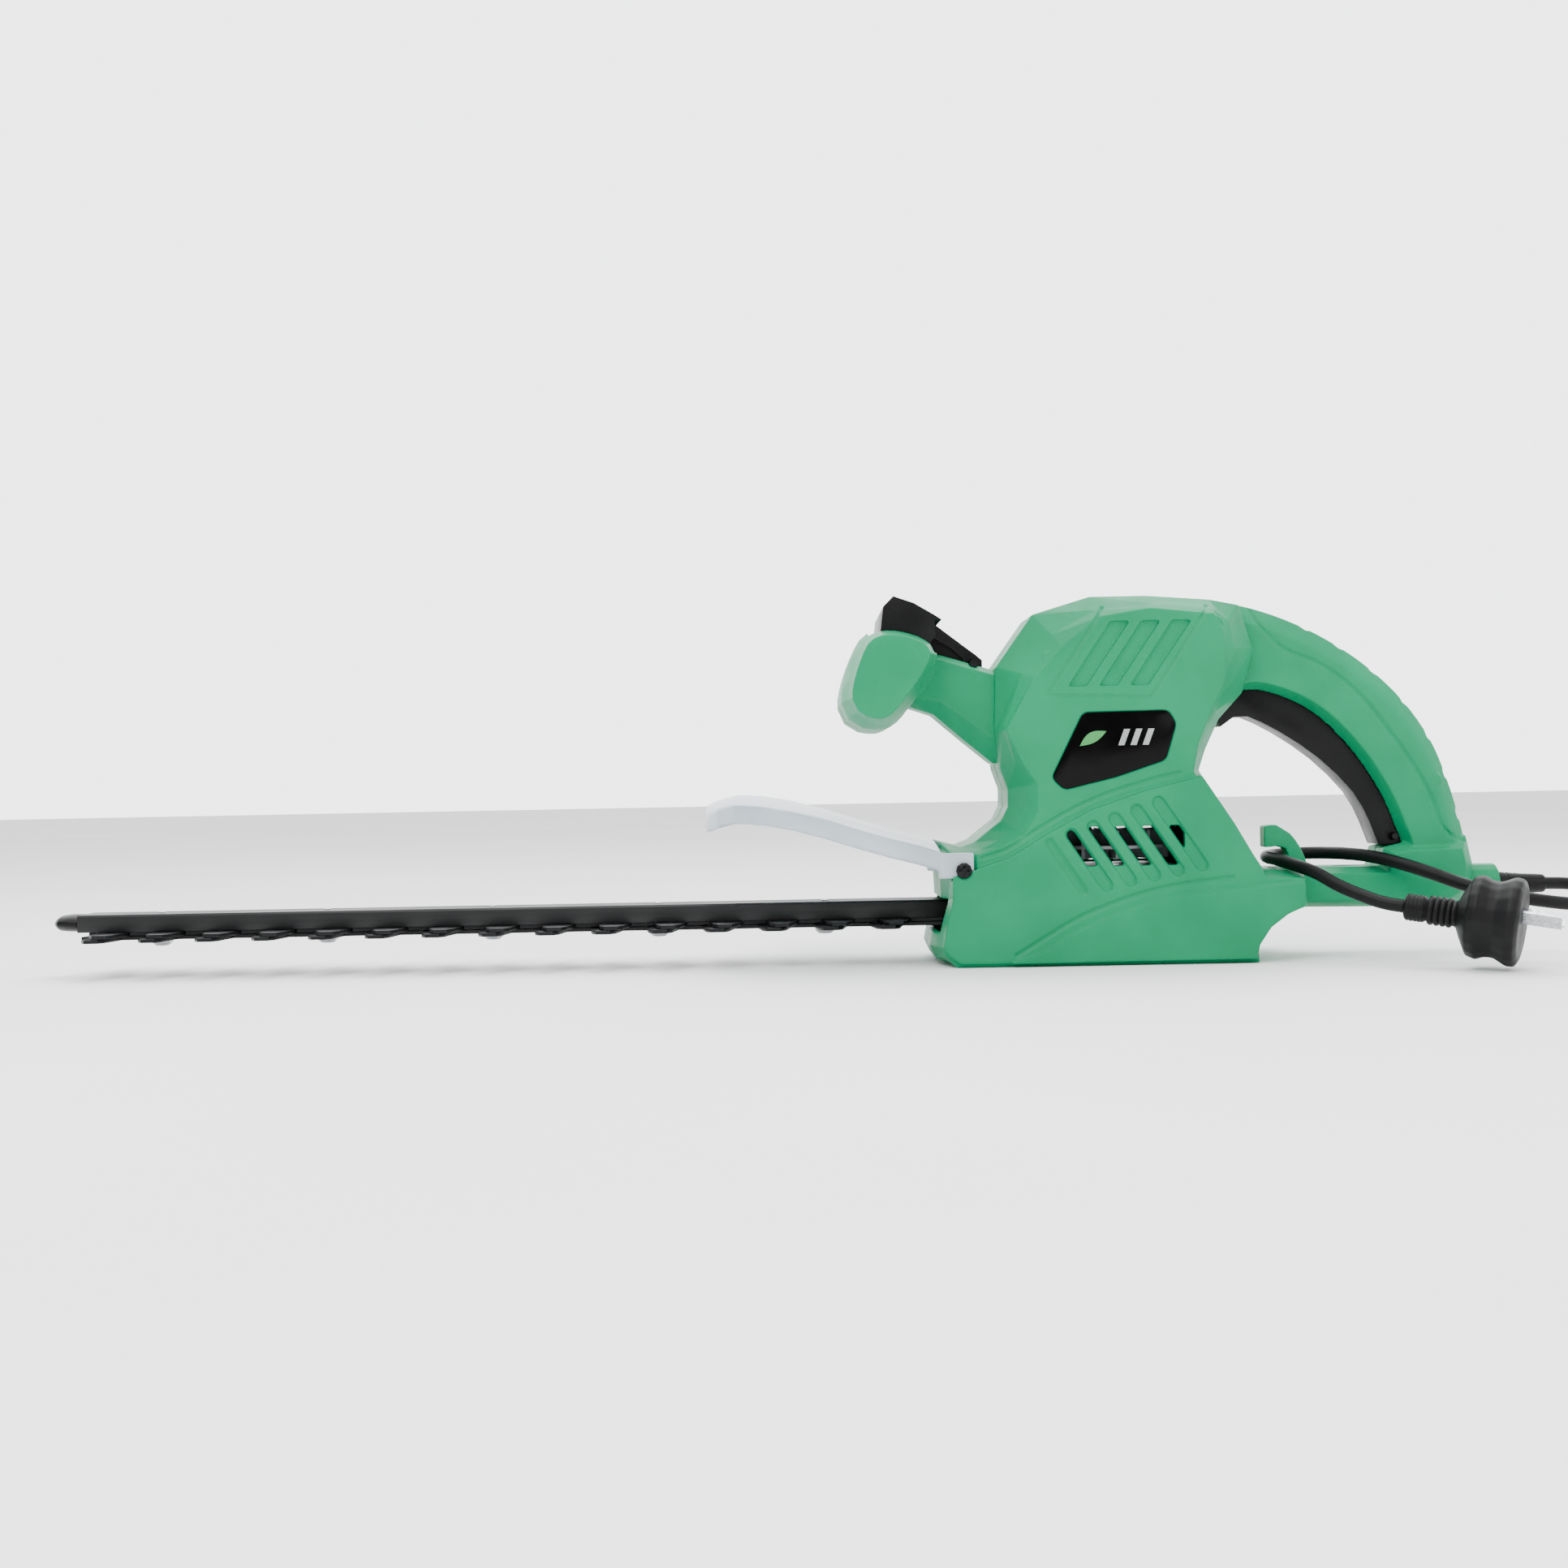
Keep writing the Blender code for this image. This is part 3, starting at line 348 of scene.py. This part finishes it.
def worked_metal(name, dark, light, roughness, stretch, height, metallic=1.0):
    """A metal with marks of that height, drawn out along the axis whose stretch is smallest.

    The marks are drawn coarser than real ones, so that they show.
    """
    made, tree, shader, place = blank(name, roughness, metallic)
    drawn = add(tree, "Mapping", {"Vector": place, "Scale": stretch}).outputs["Vector"]

    lines = add(tree, "TexNoise", {"Vector": drawn, "Scale": METRE / METAL_MARK, "Detail": 4.0})
    marks = add(tree, "MapRange", {"Value": lines.outputs["Fac"], **NOISE_SPAN}).outputs["Result"]
    tones = {"Factor": marks, COLOUR_A: linear(dark), COLOUR_B: linear(light)}
    colour = add(tree, "Mix", tones, data_type="RGBA")
    tree.links.new(colour.outputs[COLOUR_OUT], shader.inputs["Base Color"])

    clouds = add(tree, "TexNoise", {"Vector": drawn, "Scale": METRE / METAL_CLOUD, "Detail": 3.0})
    limits = {"To Min": roughness - 0.08, "To Max": roughness + 0.1}
    gloss = add(tree, "MapRange", {"Value": clouds.outputs["Fac"], **NOISE_SPAN, **limits})
    tree.links.new(gloss.outputs["Result"], shader.inputs["Roughness"])

    bump = add(tree, "Bump", {"Height": marks, "Distance": height * MM, "Strength": 0.4})
    tree.links.new(bump.outputs["Normal"], shader.inputs["Normal"])
    return made


def milky_polycarbonate():
    """Translucent sheet with a cool milky cast, which hides some of what lies behind it."""
    made, tree, shader, place = blank("polycarbonate_milky", 0.3, ior=1.58)
    shader.inputs["Transmission Weight"].default_value = 0.42
    patches = add(tree, "TexNoise", {"Vector": place, "Scale": METRE / SHEET_PATCH, "Detail": 3.0})
    share = add(tree, "MapRange", {"Value": patches.outputs["Fac"], **NOISE_SPAN})
    tones = {"Factor": share.outputs["Result"], COLOUR_A: linear("#c3d0da"), COLOUR_B: linear("#d3dee7")}
    colour = add(tree, "Mix", tones, data_type="RGBA")
    tree.links.new(colour.outputs[COLOUR_OUT], shader.inputs["Base Color"])
    return made


def all_finishes():
    """One material for each slot of the record, named for what the real one is."""
    along_x, along_y, turned, stacked = (0.06, 1, 1), (1, 0.08, 1), (1, 1, 1), (1, 1, 6)
    return {
        # a satin green with soft broad highlights
        "green_plastic": moulded("abs_moulded_green", "#007d52", "#008659", 0.42, 0.9, 0.03, shine=0.12),
        # a dull black that keeps its highlights wide
        "black_plastic": moulded("nylon_moulded_black", "#040405", "#09090a", 0.4, 0.8, 0.03, shine=0.16),
        # a polished black with a trace of waviness
        "gloss_black": moulded("styrene_polished_black", "#020202", "#040405", 0.16, 6.0, 0.01, shine=0.08),
        # a cloudy pale sheet that dims and blurs what it covers
        "clear_plastic": milky_polycarbonate(),
        # a dark oxide skin, streaked along the rolling direction
        "black_steel": worked_metal("steel_oxide_black", "#0b0c0d", "#18191b", 0.42, along_x, 0.02, 0.65),
        # bare steel left dull by the grinder, a little lighter than the skin round it
        "ground_steel": worked_metal("steel_ground_edge", "#1d1f21", "#34373a", 0.4, along_y, 0.02, 0.8),
        # dull black with fine lines left by the extrusion die
        "black_alloy": worked_metal(
            "aluminium_anodised_black", "#0b0c0d", "#131416", 0.5, along_x, 0.02, 0.3
        ),
        # bright zinc with slight clouding
        "bright_steel": worked_metal("steel_zinc_plated", "#a9adb1", "#cfd2d5", 0.28, turned, 0.01),
        # a dull grey with the fine pitting of a casting
        "cast_alloy": worked_metal("aluminium_die_cast", "#8d9094", "#abaeb2", 0.5, turned, 0.04),
        # a warm bright metal with fine lines left by the lathe
        "copper": worked_metal("copper_turned", "#a65c33", "#c6794c", 0.35, along_y, 0.01),
        # a dark grey with close level lines, the edges of the stacked sheets
        "laminations": worked_metal(
            "silicon_steel_laminated", "#55595e", "#7a7e83", 0.45, stacked, 0.05, 0.9
        ),
        # a chalky light grey seen through the vents
        "grey_plastic": moulded("polypropylene_moulded_grey", "#7f8488", "#9a9fa3", 0.5, 1.0, 0.02),
        # soft black with a faint bloom
        "rubber": moulded("pvc_flexible_black", "#060607", "#0b0b0d", 0.5, 1.4, 0.02, shine=0.16),
    }


FINISH = all_finishes()
INKS = {
    # a soft green ink, dull beside the polished badge
    "leaf": moulded("ink_printed_green", "#3c8a4a", "#47965a", 0.6, 0.5, 0.01, shine=0.2),
    # a pale grey ink
    "bar": moulded("ink_printed_grey", "#8f9694", "#9ba19f", 0.6, 0.5, 0.01, shine=0.2),
}


def dress_nodes():
    """Gives every CAD node its finish. Those that a piece stands for are hidden later."""
    for node, thing in NODES.items():
        thing.data.materials.clear()
        thing.data.materials.append(FINISH["black_steel" if node in DARK_PINS else SLOTS[node]])


# ---------------------------------------------------------------- view, floor and light


def set_view():
    """A camera that looks across the tool's left side, very slightly turned and rolled."""
    centre = Vector(VIEW_CENTRE) * MM
    back = Vector((math.sin(VIEW_TURN), -math.cos(VIEW_TURN), 0))
    camera = bpy.data.objects.new("camera", bpy.data.cameras.new("camera"))
    camera.data.lens = LENS
    camera.data.clip_start = 0.01
    turn = Matrix.Rotation(VIEW_TURN, 4, "Z") @ Matrix.Rotation(math.pi / 2, 4, "X")
    turn = turn @ Matrix.Rotation(-VIEW_ROLL, 4, "Z")
    camera.matrix_world = Matrix.Translation(centre + back * VIEW_DISTANCE * MM) @ turn
    bpy.context.scene.collection.objects.link(camera)
    bpy.context.scene.camera = camera


def set_floor():
    """A pale floor of painted board, level with the tool's flat base."""
    bpy.ops.object.select_all(action="DESELECT")
    height = CAD_BOX[0].z - FLOOR_GAP * MM
    bpy.ops.mesh.primitive_plane_add(size=FLOOR_WIDTH, location=(0, 0, height))
    floor = bpy.context.active_object
    floor.name = "floor"
    # a flat near-white that takes a soft shadow and no shine
    made, tree, shader, place = blank("matt_painted_board", 0.85)
    patches = add(tree, "TexNoise", {"Vector": place, "Scale": METRE / FLOOR_PATCH, "Detail": 3.0})
    share = add(tree, "MapRange", {"Value": patches.outputs["Fac"], **NOISE_SPAN})
    tones = {"Factor": share.outputs["Result"], COLOUR_A: linear("#f1f1f0"), COLOUR_B: linear("#f6f6f5")}
    colour = add(tree, "Mix", tones, data_type="RGBA")
    tree.links.new(colour.outputs[COLOUR_OUT], shader.inputs["Base Color"])
    floor.data.materials.append(made)


def set_light():
    """A studio that glows more brightly behind the tool, and three soft lamps."""
    world = bpy.data.worlds.new("studio")
    world.use_nodes = True
    tree = world.node_tree
    tree.nodes["Background"].inputs["Color"].default_value = linear("#f7f8f9")
    direction = add(tree, "SeparateXYZ", {"Vector": add(tree, "TexCoord").outputs["Generated"]})
    ramp = {"Value": direction.outputs["Y"], **GLOW_SPAN, "To Min": FRONT_LIGHT, "To Max": BACK_LIGHT}
    glow = add(tree, "MapRange", ramp, interpolation_type="SMOOTHSTEP")
    tree.links.new(glow.outputs["Result"], tree.nodes["Background"].inputs["Strength"])
    bpy.context.scene.world = world
    for name, place, size, power in LAMPS:
        lamp = bpy.data.objects.new(name, bpy.data.lights.new(name, "AREA"))
        lamp.data.size = size
        lamp.data.energy = power * LAMP_LIGHT
        lamp.location = place
        aim = Vector(LAMP_AIM) - Vector(place)
        lamp.rotation_euler = aim.to_track_quat("-Z", "Y").to_euler()
        bpy.context.scene.collection.objects.link(lamp)


# ---------------------------------------------------------------- mains lead


def make_cord(on_cord):
    """A round flexible lead from the strain relief, round the hook, to the plug."""
    line = bpy.data.curves.new("lead", "CURVE")
    line.dimensions = "3D"
    line.bevel_depth = CORD_RADIUS * MM
    line.bevel_resolution = 5
    line.resolution_u = 6
    line.use_fill_caps = True
    spline = line.splines.new("BEZIER")
    spline.bezier_points.add(len(CORD_ROUTE) - 1)
    for point, place in zip(spline.bezier_points, CORD_ROUTE):
        point.co = Vector(place) * MM
        point.handle_left_type = point.handle_right_type = "AUTO"
    lead = bpy.data.objects.new("lead", line)
    bpy.context.scene.collection.objects.link(lead)
    line.materials.append(FINISH["rubber"])
    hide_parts("mains_cord")
    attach(lead, "tool")


# ---------------------------------------------------------------- cutters


def bar_cutter(start, end, radius, side, depth):
    """A round-ended bar between two places in X and Z, which cuts one side from depth outward."""
    low, high = sorted((side * depth, side * CUT_REACH))
    start, end = Vector(start), Vector(end)
    along = end - start
    middle = (start + end) / 2
    bpy.ops.object.select_all(action="DESELECT")
    bpy.ops.mesh.primitive_cube_add(size=1, location=(0, 0, 0))
    tool = bpy.context.active_object
    tool.scale = (along.length + 2 * radius, high - low, 2 * radius)
    settle(tool)
    bpy.ops.object.mode_set(mode="EDIT")
    bpy.ops.mesh.select_all(action="DESELECT")
    bpy.ops.object.mode_set(mode="OBJECT")
    for edge in tool.data.edges:
        a, b = (tool.data.vertices[i].co for i in edge.vertices)
        edge.select = abs(a.x - b.x) < 1e-6 and abs(a.z - b.z) < 1e-6
    bpy.ops.object.mode_set(mode="EDIT")
    bpy.ops.mesh.select_mode(type="EDGE")
    bpy.ops.mesh.bevel(offset=radius * 0.999, segments=6)
    bpy.ops.object.mode_set(mode="OBJECT")
    tool.rotation_euler = (0, -math.atan2(along.y, along.x), 0)
    tool.location = (middle.x, (low + high) / 2, middle.y)
    tool.scale = (1, 1, 1)
    settle(tool)
    tool.data.transform(Matrix.Scale(MM, 4))
    return tool


def tidy_mesh(thing):
    """Welds a piece's points and turns its faces outward."""
    only(thing)
    bpy.ops.object.mode_set(mode="EDIT")
    bpy.ops.mesh.select_all(action="SELECT")
    bpy.ops.mesh.remove_doubles(threshold=0.001 * MM)
    bpy.ops.mesh.normals_make_consistent(inside=False)
    bpy.ops.object.mode_set(mode="OBJECT")
    return thing


def rod_cutter(points, radius):
    """A thin round rod through points in space."""
    line = bpy.data.curves.new("groove", "CURVE")
    line.dimensions = "3D"
    line.bevel_depth = radius * MM
    line.bevel_resolution = 3
    line.resolution_u = 4
    line.use_fill_caps = True
    spline = line.splines.new("BEZIER")
    spline.bezier_points.add(len(points) - 1)
    for point, place in zip(spline.bezier_points, points):
        point.co = Vector(place) * MM
        point.handle_left_type = point.handle_right_type = "AUTO"
    tool = bpy.data.objects.new("groove", line)
    bpy.context.scene.collection.objects.link(tool)
    only(tool)
    bpy.ops.object.convert(target="MESH")
    return tidy_mesh(bpy.context.active_object)


def plate(name, outline, low, high, rim=0.0):
    """A flat piece with that outline in X and Z, between two places along Y."""
    line = bpy.data.curves.new(name, "CURVE")
    line.dimensions = "2D"
    line.fill_mode = "BOTH"
    line.extrude = ((high - low) / 2 - rim) * MM
    line.bevel_depth = rim * MM
    line.offset = -rim * MM
    spline = line.splines.new("POLY")
    spline.points.add(len(outline) - 1)
    spline.use_cyclic_u = True
    for point, (x, z) in zip(spline.points, outline):
        point.co = (x * MM, z * MM, 0, 1)
    made = bpy.data.objects.new(name, line)
    bpy.context.scene.collection.objects.link(made)
    made.rotation_euler = (math.pi / 2, 0, 0)
    made.location = (0, (low + high) / 2 * MM, 0)
    only(made)
    bpy.ops.object.convert(target="MESH")
    made = settle(bpy.context.active_object)
    return tidy_mesh(made)


def on_side(thing, side, places, lift=0.0):
    """Those places in X and Z, as points on the outer face of one side or a lift outside it."""
    found = []
    for x, z in places:
        start = Vector((x, side * SIDE_START, z)) * MM
        hit, spot, _, _ = thing.ray_cast(start, Vector((0, -side, 0)))
        if hit:
            found.append(spot / MM + Vector((0, side * lift, 0)))
    return found


def between(start, end, count=12):
    """Evenly spaced places from one to the other."""
    start, end = Vector(start), Vector(end)
    return [start.lerp(end, i / (count - 1)) for i in range(count)]


def notch_cutter(thing, side, place):
    """A rod across the handle's back, which leaves a shallow finger hollow there."""
    middle = Vector((HANDLE_MIDDLE[0], 0, HANDLE_MIDDLE[1]))
    outward = (Vector((place[0], 0, place[1])) - middle).normalized()
    aside = Vector((0, side * NOTCH_ASIDE, 0))
    _, spot, _, _ = thing.ray_cast((middle + outward * NOTCH_START + aside) * MM, -outward)
    centre = spot / MM + outward * (NOTCH_RADIUS - NOTCH_DEPTH)
    across = [centre + Vector((0, y, 0)) for y in (-NOTCH_REACH, 0, NOTCH_REACH)]
    return rod_cutter(across, NOTCH_RADIUS)


# ---------------------------------------------------------------- housing, guard and blades


def vent_ends(i):
    """The slanted ends of the lower vent at that place in its row."""
    top = tuple(at + step * i for at, step in zip(VENT_TOP, VENT_TOP_STEP))
    foot = tuple(at + step * i for at, step in zip(VENT_FOOT, VENT_FOOT_STEP))
    return top, foot


def make_housing():
    """Both moulded halves, with soft edges, vent recesses, seam lines and a ribbed grip."""
    for label, side in SIDES:
        node = f"housing_{label}"
        solid = NODES[node]
        shell = skin(node, f"shell_{label}")
        for i in range(VENT_COUNT):
            combine(shell, bar_cutter(*vent_ends(i), VENT_RADIUS + VENT_MARGIN, side, VENT_SIDE - VENT_SINK))
        for ends in BAND_SEAMS:
            combine(shell, rod_cutter(on_side(solid, side, between(*ends)), GROOVE))
        for line in (WAIST_LINE, SKIRT_LINE):
            combine(shell, rod_cutter(on_side(solid, side, line, CREASE_LIFT), GROOVE + CREASE_MORE))
        combine(shell, rod_cutter(on_side(solid, side, PAD_LINE), GROOVE))
        for place in PAD_NOTCHES:
            combine(shell, notch_cutter(solid, side, place))
        modify(shell, "REMESH", mode="VOXEL", voxel_size=FINE * MM)
        modify(shell, "SMOOTH", factor=0.5, iterations=2)
        modify(shell, "DECIMATE", ratio=SKIN_KEPT)
        smooth(shell, 40)
        mount(shell, node, FINISH["green_plastic"])


def make_guard():
    """The translucent shield, with its coarse stations smoothed."""
    made = skin("hand_guard", "guard_shield")
    modify(made, "REMESH", mode="VOXEL", voxel_size=GUARD_FACET * MM)
    modify(made, "SMOOTH", factor=0.5, iterations=14)
    modify(made, "DECIMATE", ratio=GUARD_KEPT)
    smooth(made, 70)
    mount(made, "hand_guard", FINISH["clear_plastic"])


def make_blades():
    """Both blades: an oxide skin, with bare steel where the teeth are ground."""
    for name in ("upper", "lower"):
        node = f"blade_{name}"
        made = skin(node, f"{node}_ground")
        modify(made, "DECIMATE", decimate_type="DISSOLVE", angle_limit=math.radians(1))
        made.data.materials.clear()
        made.data.materials.append(FINISH["black_steel"])
        made.data.materials.append(FINISH["ground_steel"])
        modify(
            made, "BEVEL", width=BLADE_EDGE * MM, segments=2, material=1,
            limit_method="ANGLE", angle_limit=math.radians(60),
        )
        smooth(made, 30)
        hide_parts(node)
        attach(made, NODES[node]["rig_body"])


# ---------------------------------------------------------------- small pieces


def round_edges(made, width):
    """Rounds a moulded or rolled piece's edges by that width."""
    modify(made, "DECIMATE", decimate_type="DISSOLVE", angle_limit=math.radians(2))
    modify(made, "BEVEL", width=width * MM, segments=3, limit_method="ANGLE", angle_limit=math.radians(32))


def soften(node, width):
    """A piece with rounded edges in its record slot's finish."""
    made = skin(node, f"{node}_piece")
    round_edges(made, width)
    smooth(made, 50)
    mount(made, node, FINISH[SLOTS[node]])


def join(made, *others):
    """Makes several pieces one object."""
    bpy.ops.object.select_all(action="DESELECT")
    for other in others:
        other.select_set(True)
    made.select_set(True)
    bpy.context.view_layer.objects.active = made
    bpy.ops.object.join()


def make_lever():
    """The front lever, with a cheek each side of its spring that fills down to the arm."""
    made = skin("front_switch_lever", "lever_pressing")
    round_edges(made, LEVER_EDGE)
    near, far = CHEEK_SIDE
    left = plate("cheek_left", CHEEK, -far, -near, CHEEK_RIM)
    right = plate("cheek_right", CHEEK, near, far, CHEEK_RIM)
    join(made, left, right)
    smooth(made, 50)
    mount(made, "front_switch_lever", FINISH["black_plastic"])


def ring(place, along, radius, thick):
    """A round ring about an axis."""
    bpy.ops.object.select_all(action="DESELECT")
    bpy.ops.mesh.primitive_torus_add(
        major_radius=radius * MM, minor_radius=thick * MM, major_segments=36, minor_segments=10,
        location=Vector(place) * MM, rotation=Vector(along).to_track_quat("Z", "Y").to_euler(),
    )
    return settle(bpy.context.active_object)


def make_round(node, rings, reach, ribs=()):
    """A turned rubber moulding whose facets are smoothed, with cut rings and added ribs."""
    made = skin(node, f"{node}_moulding")
    modify(made, "REMESH", mode="VOXEL", voxel_size=RUBBER_FACET * MM)
    modify(made, "SMOOTH", factor=0.5, iterations=24)
    for place, along in ribs:
        combine(made, ring(place, along, RIB_RADIUS, RIB_THICK), "UNION")
    for place, along in rings:
        combine(made, ring(place, along, reach + RING_OUT, RING_THICK))
    smooth(made, 45)
    return mount(made, node, FINISH["rubber"])


def make_boot():
    """The strain relief, with rings round it that let it flex."""
    height = CORD_ROUTE[0][2]
    rings = [((x, 0, height), (1, 0, 0)) for x in BOOT_RINGS]
    return make_round("cord_boot", rings, BOOT_REACH)


def make_plug():
    """The plug's body, with flexing rings at its back and raised ribs to hold it by."""
    back, face = Vector(PLUG_BACK), Vector(PLUG_FACE)
    along = (face - back).normalized()
    rings = [(back + along * step, along) for step in PLUG_RINGS]
    ribs = [(back + along * step, along) for step in PLUG_RIBS]
    return make_round("plug_body", rings, PLUG_REACH, ribs)


def make_guard_screws():
    """The guard's screws, each with a cross recess in its head."""
    x, z = GUARD_SCREW
    arm, half = RECESS_ARM, RECESS_HALF
    crossing = (
        ((x - arm, z - half), (x + arm, z - half), (x + arm, z + half), (x - arm, z + half)),
        ((x - half, z - arm), (x + half, z - arm), (x + half, z + arm), (x - half, z + arm)),
    )
    for label, side in SIDES:
        node = f"guard_screw_{label}"
        made = skin(node, f"{node}_recessed")
        low, high = sorted(side * y for y in RECESS_SPAN)
        for outline in crossing:
            combine(made, plate("recess", outline, low, high))
        smooth(made, 35)
        mount(made, node, FINISH["black_steel"])


def leaf_outline():
    """A slanted leaf with a full upper edge and a flatter lower one."""
    upper = []
    for i in range(LEAF_STEPS):
        share = i / LEAF_STEPS
        upper.append(Vector((LEAF_LENGTH * share, LEAF_WIDTH / 2 * math.sin(math.pi * share))))
    lower = [Vector((p.x, -p.y * LEAF_BELLY)) for p in upper[:0:-1]]
    turn = Matrix.Rotation(LEAF_TURN, 2)
    start = Vector(PRINT_MIDDLE) - Vector(LEAF_START)
    return [turn @ p + start for p in [*upper, Vector((LEAF_LENGTH, 0)), *lower]]


def bar_outline(i):
    """The slanted bar at that place in its row."""
    x = PRINT_MIDDLE[0] + BAR_START + BAR_PITCH * i
    foot = [(x, BAR_FOOT), (x + BAR_WIDTH, BAR_FOOT)]
    top = [(x + BAR_WIDTH + BAR_SLANT, BAR_TOP), (x + BAR_SLANT, BAR_TOP)]
    return foot + top


def make_print():
    """A leaf and three slanted bars on each badge: a plain device, with no lettering."""
    for label, side in SIDES:
        face = max(abs(v.co.y) for v in NODES[f"badge_{label}"].data.vertices) / MM
        low, high = sorted((side * (face - PRINT_SINK), side * (face + PRINT_THICKNESS)))
        pieces = [(plate(f"badge_leaf_{label}", leaf_outline(), low, high), "leaf")]
        for i in range(BAR_COUNT):
            pieces.append((plate(f"badge_bar_{label}_{i}", bar_outline(i), low, high), "bar"))
        for piece, ink in pieces:
            piece.data.materials.append(INKS[ink])
            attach(piece, "tool")


# ---------------------------------------------------------------- the whole


set_view()
dress_nodes()
set_floor()
set_light()
make_housing()
make_guard()
make_blades()
make_lever()
make_print()
make_cord([make_boot(), make_plug(), NODES["plug_pin_1"], NODES["plug_pin_2"]])
make_guard_screws()
for node, width in BEVELLED.items():
    soften(node, width)
